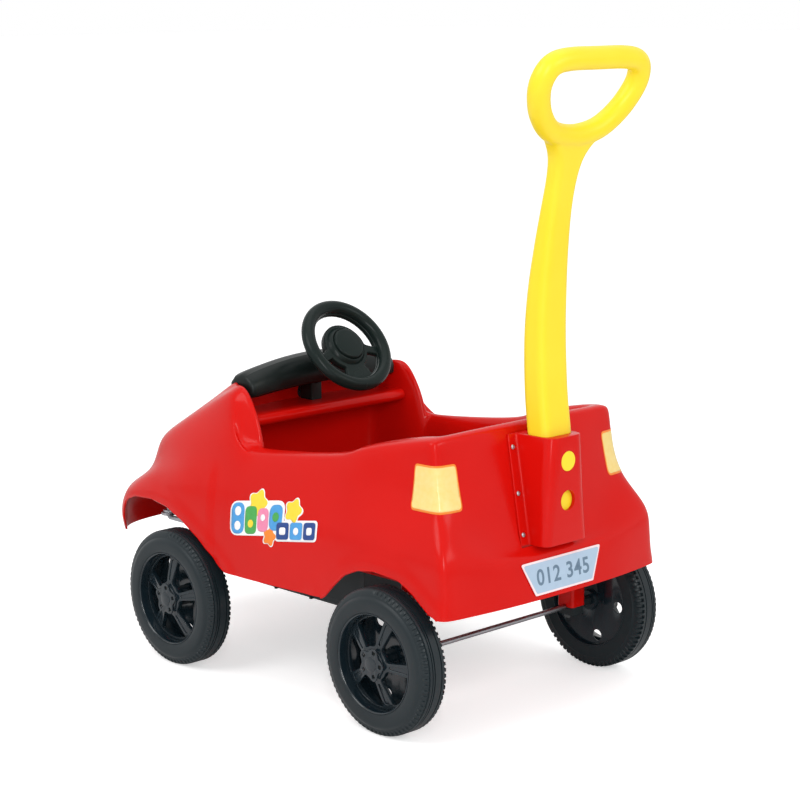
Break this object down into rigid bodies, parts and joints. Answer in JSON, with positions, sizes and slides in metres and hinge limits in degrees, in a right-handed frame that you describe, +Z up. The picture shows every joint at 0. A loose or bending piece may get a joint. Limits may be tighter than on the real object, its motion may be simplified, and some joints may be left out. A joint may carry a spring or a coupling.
{
  "type": "kids ride-on car",
  "caption": "Child-size ride-on car with an open cockpit, working steering, free-rolling spoked wheels and a tall push handle with a grip loop.",
  "frame": {"origin": "on the floor under the middle of the bounding box, on the centre plane", "axes": "+Z up, the car's nose points to -Y, its left side is +X"},
  "size_m": [0.5028, 0.8795, 0.9471],
  "materials": {
    "red_plastic": "glossy blow moulded",
    "yellow_plastic": "satin blow moulded",
    "wheel_plastic": "satin black moulded",
    "black_plastic": "satin black moulded",
    "black_plastic_matt": "matt black moulded",
    "plate": "bare printed film",
    "steel_rod": "bright drawn rod",
    "steel_fitting": "zinc plated"
  },
  "bodies": {
    "car": {"axle_cap_left": "black_plastic_matt", "axle_cap_right": "black_plastic_matt", "beam_screw_left": "steel_fitting", "beam_screw_right": "steel_fitting", "body_shell": "red_plastic", "column_bush": "black_plastic_matt", "dashboard": "black_plastic", "floor_tray": "black_plastic_matt", "front_axle_beam": "steel_fitting", "handle_plug": "yellow_plastic", "handle_socket": "red_plastic", "number_plate": "plate", "push_handle": "yellow_plastic", "rear_axle": "steel_rod", "rear_nut_left": "steel_fitting", "rear_nut_right": "steel_fitting", "rear_spacer_left": "black_plastic_matt", "rear_spacer_right": "black_plastic_matt", "seat": "red_plastic", "socket_screw_left_1": "steel_fitting", "socket_screw_left_2": "steel_fitting", "socket_screw_left_3": "steel_fitting", "socket_screw_right_1": "steel_fitting", "socket_screw_right_2": "steel_fitting", "socket_screw_right_3": "steel_fitting", "tray_screw_front_left": "steel_fitting", "tray_screw_front_right": "steel_fitting", "tray_screw_rear_left": "steel_fitting", "tray_screw_rear_right": "steel_fitting"},
    "steering": {"steering_column": "steel_rod", "steering_wheel": "black_plastic"},
    "horn": {"horn_button": "black_plastic"},
    "tie_rod": {"tie_rod": "steel_fitting"},
    "knuckle_left": {"kingpin_collar_left": "steel_fitting", "stub_axle_left": "steel_rod", "stub_nut_left": "steel_fitting", "stub_washer_left": "steel_fitting", "tie_rod_nut_left": "steel_fitting"},
    "wheel_front_left": {"wheel_front_left": "wheel_plastic", "hub_cap_front_left": "black_plastic"},
    "wheel_rear_left": {"wheel_rear_left": "wheel_plastic", "hub_cap_rear_left": "black_plastic"},
    "knuckle_right": {"kingpin_collar_right": "steel_fitting", "stub_axle_right": "steel_rod", "stub_nut_right": "steel_fitting", "stub_washer_right": "steel_fitting", "tie_rod_nut_right": "steel_fitting"},
    "wheel_front_right": {"wheel_front_right": "wheel_plastic", "hub_cap_front_right": "black_plastic"},
    "wheel_rear_right": {"wheel_rear_right": "wheel_plastic", "hub_cap_rear_right": "black_plastic"}
  },
  "joints": [
    {"name": "steering_turn", "type": "hinge", "parent": "car", "child": "steering", "pos_m": [0, -0.077, 0.486], "axis": [0, 0.788, 0.6157], "range_deg": [-40, 40]},
    {"name": "horn_press", "type": "slide", "parent": "steering", "child": "horn", "axis": [0, -0.788, -0.6157], "range_m": [0, 0.0025], "stiffness_N_per_m": 600, "springref_m": -0.0008},
    {"name": "tie_rod_slide", "type": "slide", "parent": "car", "child": "tie_rod", "axis": [1, 0, 0], "range_m": [-0.0169, 0.0169]},
    {"name": "kingpin_left", "type": "hinge", "parent": "car", "child": "knuckle_left", "pos_m": [0.184, -0.2202, 0.16], "axis": [0, 0, 1], "range_deg": [-13.6, 13.6]},
    {"name": "spin_front_left", "type": "hinge", "parent": "knuckle_left", "child": "wheel_front_left", "pos_m": [0.2231, -0.2202, 0.105], "axis": [1, 0, 0], "continuous": true},
    {"name": "spin_rear_left", "type": "hinge", "parent": "car", "child": "wheel_rear_left", "pos_m": [0.2231, 0.2402, 0.105], "axis": [1, 0, 0], "continuous": true},
    {"name": "kingpin_right", "type": "hinge", "parent": "car", "child": "knuckle_right", "pos_m": [-0.184, -0.2202, 0.16], "axis": [0, 0, 1], "range_deg": [-13.6, 13.6]},
    {"name": "spin_front_right", "type": "hinge", "parent": "knuckle_right", "child": "wheel_front_right", "pos_m": [-0.2231, -0.2202, 0.105], "axis": [1, 0, 0], "continuous": true},
    {"name": "spin_rear_right", "type": "hinge", "parent": "car", "child": "wheel_rear_right", "pos_m": [-0.2231, 0.2402, 0.105], "axis": [1, 0, 0], "continuous": true}
  ],
  "couplings": [
    {"joint": "tie_rod_slide", "follows": "steering_turn", "m_per_rad": 0.023939},
    {"joint": "kingpin_left", "follows": "steering_turn", "ratio": 0.33554},
    {"joint": "kingpin_right", "follows": "steering_turn", "ratio": 0.33554}
  ]
}
